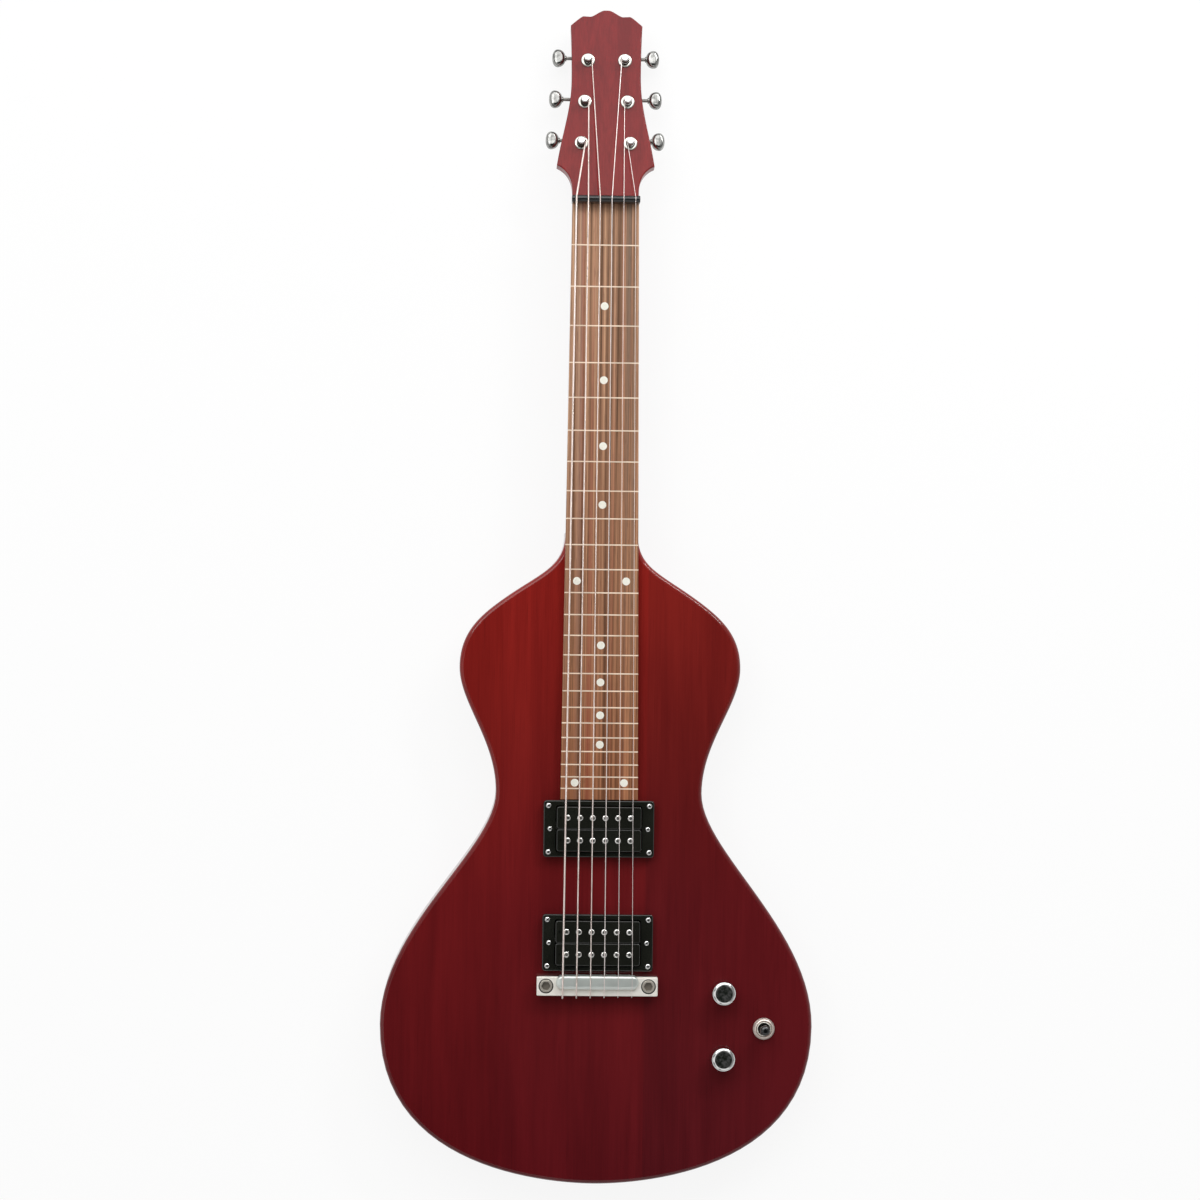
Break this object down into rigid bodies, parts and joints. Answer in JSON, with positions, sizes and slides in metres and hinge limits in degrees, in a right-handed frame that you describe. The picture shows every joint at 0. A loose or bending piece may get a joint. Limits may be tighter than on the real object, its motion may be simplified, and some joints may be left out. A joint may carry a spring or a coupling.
{
  "type": "lap steel guitar",
  "caption": "Solid-body electric lap steel guitar lying on its back, with inlaid fret lines, pickups, wrap-over bridge, knobs, selector and geared tuning machines.",
  "frame": {"origin": "on the flat back face of the body, on the centre line, straight below the saddle", "axes": "+X towards the treble side, +Y along the strings from the tail to the headstock, +Z out of the face; the guitar lies on its back"},
  "size_m": [0.3516, 0.957, 0.0625],
  "materials": {
    "mahogany_body": "deep cherry gloss lacquer",
    "mahogany_neck": "cherry gloss lacquer",
    "rosewood": "open-pored, oiled",
    "black_nut": "black, polished",
    "chrome": "polished",
    "string_steel": "bare steel and nickel wound",
    "pickup_plastic": "black moulded",
    "pole_steel": "polished nickel",
    "nickel_plate": "nickel plated sheet",
    "magnet": "dull grey",
    "pot_metal": "plated can",
    "lever_plastic": "black tip",
    "cover_plastic": "black, fine grain"
  },
  "bodies": {
    "instrument": {"body": "mahogany_body", "neck": "mahogany_neck", "fingerboard": "rosewood", "nut": "black_nut", "string_1": "string_steel", "string_2": "string_steel", "string_3": "string_steel", "string_4": "string_steel", "string_5": "string_steel", "string_6": "string_steel", "bridge": "chrome", "bridge_stud_bass": "chrome", "bridge_stud_treble": "chrome", "neck_pickup_ring": "pickup_plastic", "neck_pickup_base_plate": "nickel_plate", "neck_pickup_bobbin_head_side": "pickup_plastic", "neck_pickup_poles_head_side": "pole_steel", "neck_pickup_bobbin_tail_side": "pickup_plastic", "neck_pickup_poles_tail_side": "pole_steel", "neck_pickup_magnet": "magnet", "bridge_pickup_ring": "pickup_plastic", "bridge_pickup_base_plate": "nickel_plate", "bridge_pickup_bobbin_head_side": "pickup_plastic", "bridge_pickup_poles_head_side": "pole_steel", "bridge_pickup_bobbin_tail_side": "pickup_plastic", "bridge_pickup_poles_tail_side": "pole_steel", "bridge_pickup_magnet": "magnet", "volume_pot": "pot_metal", "tone_pot": "pot_metal", "selector_switch": "chrome", "output_jack": "chrome", "control_cover": "cover_plastic", "tuner_1_bushing": "chrome", "tuner_1_plate": "chrome", "tuner_2_bushing": "chrome", "tuner_2_plate": "chrome", "tuner_3_bushing": "chrome", "tuner_3_plate": "chrome", "tuner_4_bushing": "chrome", "tuner_4_plate": "chrome", "tuner_5_bushing": "chrome", "tuner_5_plate": "chrome", "tuner_6_bushing": "chrome", "tuner_6_plate": "chrome"},
    "tuning_post_1": {"tuner_1_post": "chrome"},
    "tuning_button_1": {"tuner_1_button": "chrome"},
    "tuning_post_2": {"tuner_2_post": "chrome"},
    "tuning_button_2": {"tuner_2_button": "chrome"},
    "tuning_post_3": {"tuner_3_post": "chrome"},
    "tuning_button_3": {"tuner_3_button": "chrome"},
    "tuning_post_4": {"tuner_4_post": "chrome"},
    "tuning_button_4": {"tuner_4_button": "chrome"},
    "tuning_post_5": {"tuner_5_post": "chrome"},
    "tuning_button_5": {"tuner_5_button": "chrome"},
    "tuning_post_6": {"tuner_6_post": "chrome"},
    "tuning_button_6": {"tuner_6_button": "chrome"},
    "volume_control": {"volume_knob": "chrome"},
    "tone_control": {"tone_knob": "chrome"},
    "selector_arm": {"selector_lever": "lever_plastic"}
  },
  "joints": [
    {"name": "tuning_button_1_turn", "type": "hinge", "parent": "instrument", "child": "tuning_button_1", "pos_m": [-0.0199, 0.68774, 0.01969], "axis": [1, 0, 0], "continuous": true},
    {"name": "tuning_post_1_turn", "type": "hinge", "parent": "instrument", "child": "tuning_post_1", "pos_m": [-0.0199, 0.68347, 0.03905], "axis": [0, 0.1219, 0.9925], "continuous": true},
    {"name": "tuning_button_2_turn", "type": "hinge", "parent": "instrument", "child": "tuning_button_2", "pos_m": [-0.0174, 0.72208, 0.01547], "axis": [1, 0, 0], "continuous": true},
    {"name": "tuning_post_2_turn", "type": "hinge", "parent": "instrument", "child": "tuning_post_2", "pos_m": [-0.0174, 0.71781, 0.03484], "axis": [0, 0.1219, 0.9925], "continuous": true},
    {"name": "tuning_button_3_turn", "type": "hinge", "parent": "instrument", "child": "tuning_button_3", "pos_m": [-0.01505, 0.75642, 0.01125], "axis": [1, 0, 0], "continuous": true},
    {"name": "tuning_post_3_turn", "type": "hinge", "parent": "instrument", "child": "tuning_post_3", "pos_m": [-0.01505, 0.75215, 0.03062], "axis": [0, 0.1219, 0.9925], "continuous": true},
    {"name": "tuning_button_4_turn", "type": "hinge", "parent": "instrument", "child": "tuning_button_4", "pos_m": [0.01505, 0.75642, 0.01125], "axis": [1, 0, 0], "continuous": true},
    {"name": "tuning_post_4_turn", "type": "hinge", "parent": "instrument", "child": "tuning_post_4", "pos_m": [0.01505, 0.75215, 0.03062], "axis": [0, 0.1219, 0.9925], "continuous": true},
    {"name": "tuning_button_5_turn", "type": "hinge", "parent": "instrument", "child": "tuning_button_5", "pos_m": [0.0174, 0.72208, 0.01547], "axis": [1, 0, 0], "continuous": true},
    {"name": "tuning_post_5_turn", "type": "hinge", "parent": "instrument", "child": "tuning_post_5", "pos_m": [0.0174, 0.71781, 0.03484], "axis": [0, 0.1219, 0.9925], "continuous": true},
    {"name": "tuning_button_6_turn", "type": "hinge", "parent": "instrument", "child": "tuning_button_6", "pos_m": [0.0199, 0.68774, 0.01969], "axis": [1, 0, 0], "continuous": true},
    {"name": "tuning_post_6_turn", "type": "hinge", "parent": "instrument", "child": "tuning_post_6", "pos_m": [0.0199, 0.68347, 0.03905], "axis": [0, 0.1219, 0.9925], "continuous": true},
    {"name": "volume_turn", "type": "hinge", "parent": "instrument", "child": "volume_control", "pos_m": [0.1027, -0.0058, 0.0445], "axis": [0, 0, 1], "range_deg": [-140, 140]},
    {"name": "tone_turn", "type": "hinge", "parent": "instrument", "child": "tone_control", "pos_m": [0.1027, -0.0592, 0.0445], "axis": [0, 0, 1], "range_deg": [-140, 140]},
    {"name": "selector_throw", "type": "hinge", "parent": "instrument", "child": "selector_arm", "pos_m": [0.1362, -0.0355, 0.0445], "axis": [1, 0, 0], "range_deg": [-13, 13]}
  ],
  "couplings": [
    {"joint": "tuning_post_1_turn", "follows": "tuning_button_1_turn", "ratio": 0.083333},
    {"joint": "tuning_post_2_turn", "follows": "tuning_button_2_turn", "ratio": 0.083333},
    {"joint": "tuning_post_3_turn", "follows": "tuning_button_3_turn", "ratio": 0.083333},
    {"joint": "tuning_post_4_turn", "follows": "tuning_button_4_turn", "ratio": 0.083333},
    {"joint": "tuning_post_5_turn", "follows": "tuning_button_5_turn", "ratio": 0.083333},
    {"joint": "tuning_post_6_turn", "follows": "tuning_button_6_turn", "ratio": 0.083333}
  ]
}
